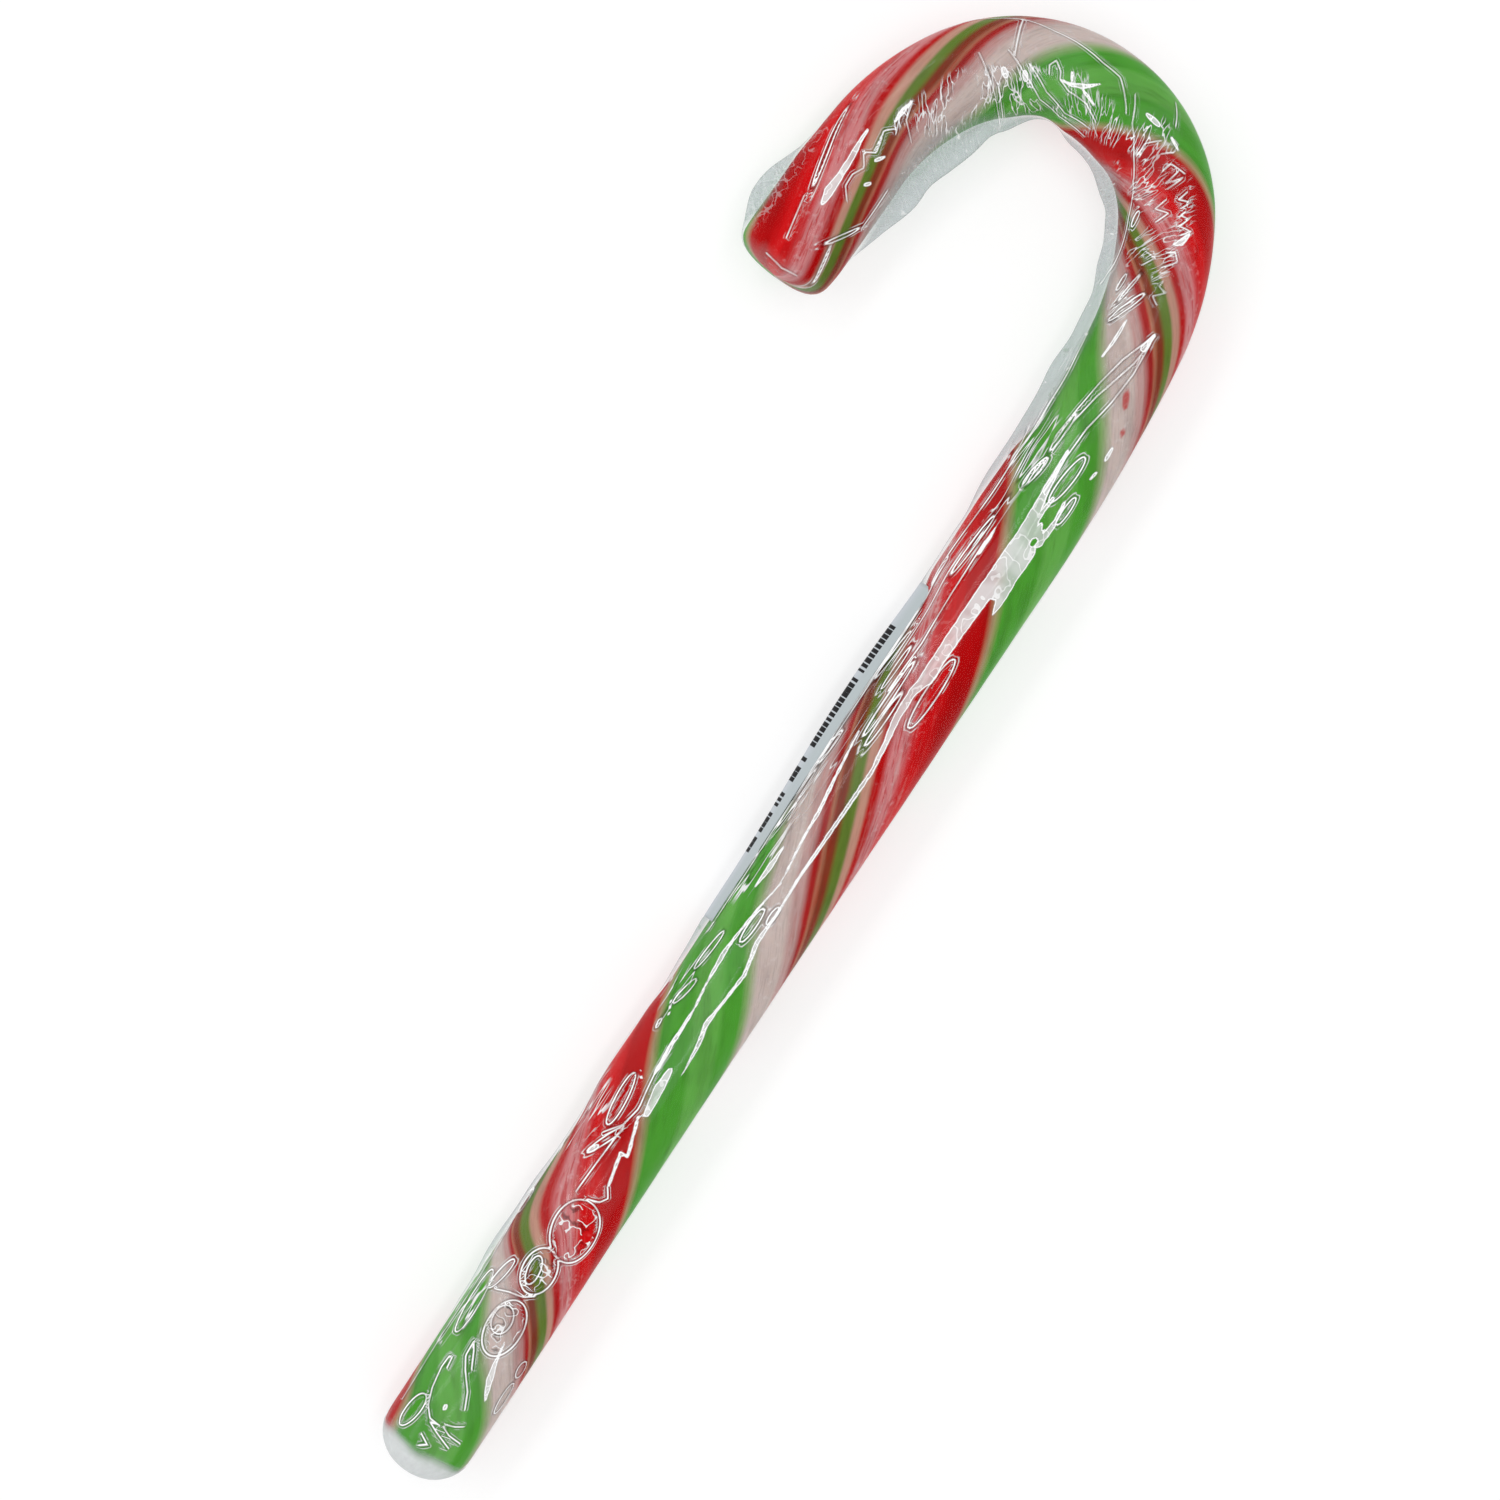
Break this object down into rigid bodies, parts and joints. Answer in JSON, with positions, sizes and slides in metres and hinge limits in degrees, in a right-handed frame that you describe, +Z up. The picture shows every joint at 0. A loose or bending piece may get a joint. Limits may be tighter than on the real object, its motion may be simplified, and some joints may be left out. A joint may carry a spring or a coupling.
{
  "type": "wrapped candy cane",
  "caption": "Candy cane in a clear film wrapper: a round stick of boiled sugar bent to a crook, with twisted green, red and white stripes and a small paper label.",
  "frame": {"origin": "on the surface the cane lies on, under the middle of its bounding box", "axes": "+Z up from that surface; the shaft runs from its foot at -X -Y towards +X +Y, and the crook turns back to -X at the +Y end"},
  "size_m": [0.0892, 0.1568, 0.0104],
  "materials": {
    "candy": "glossy boiled sugar, slightly translucent, with soft-edged lengthwise twisted stripes in green, red, pinkish white, tan and olive",
    "film": "thin clear film, glossy and finely wrinkled",
    "label": null
  },
  "bodies": {
    "root": {"wrapped_cane": "candy", "label": "label"}
  },
  "joints": []
}
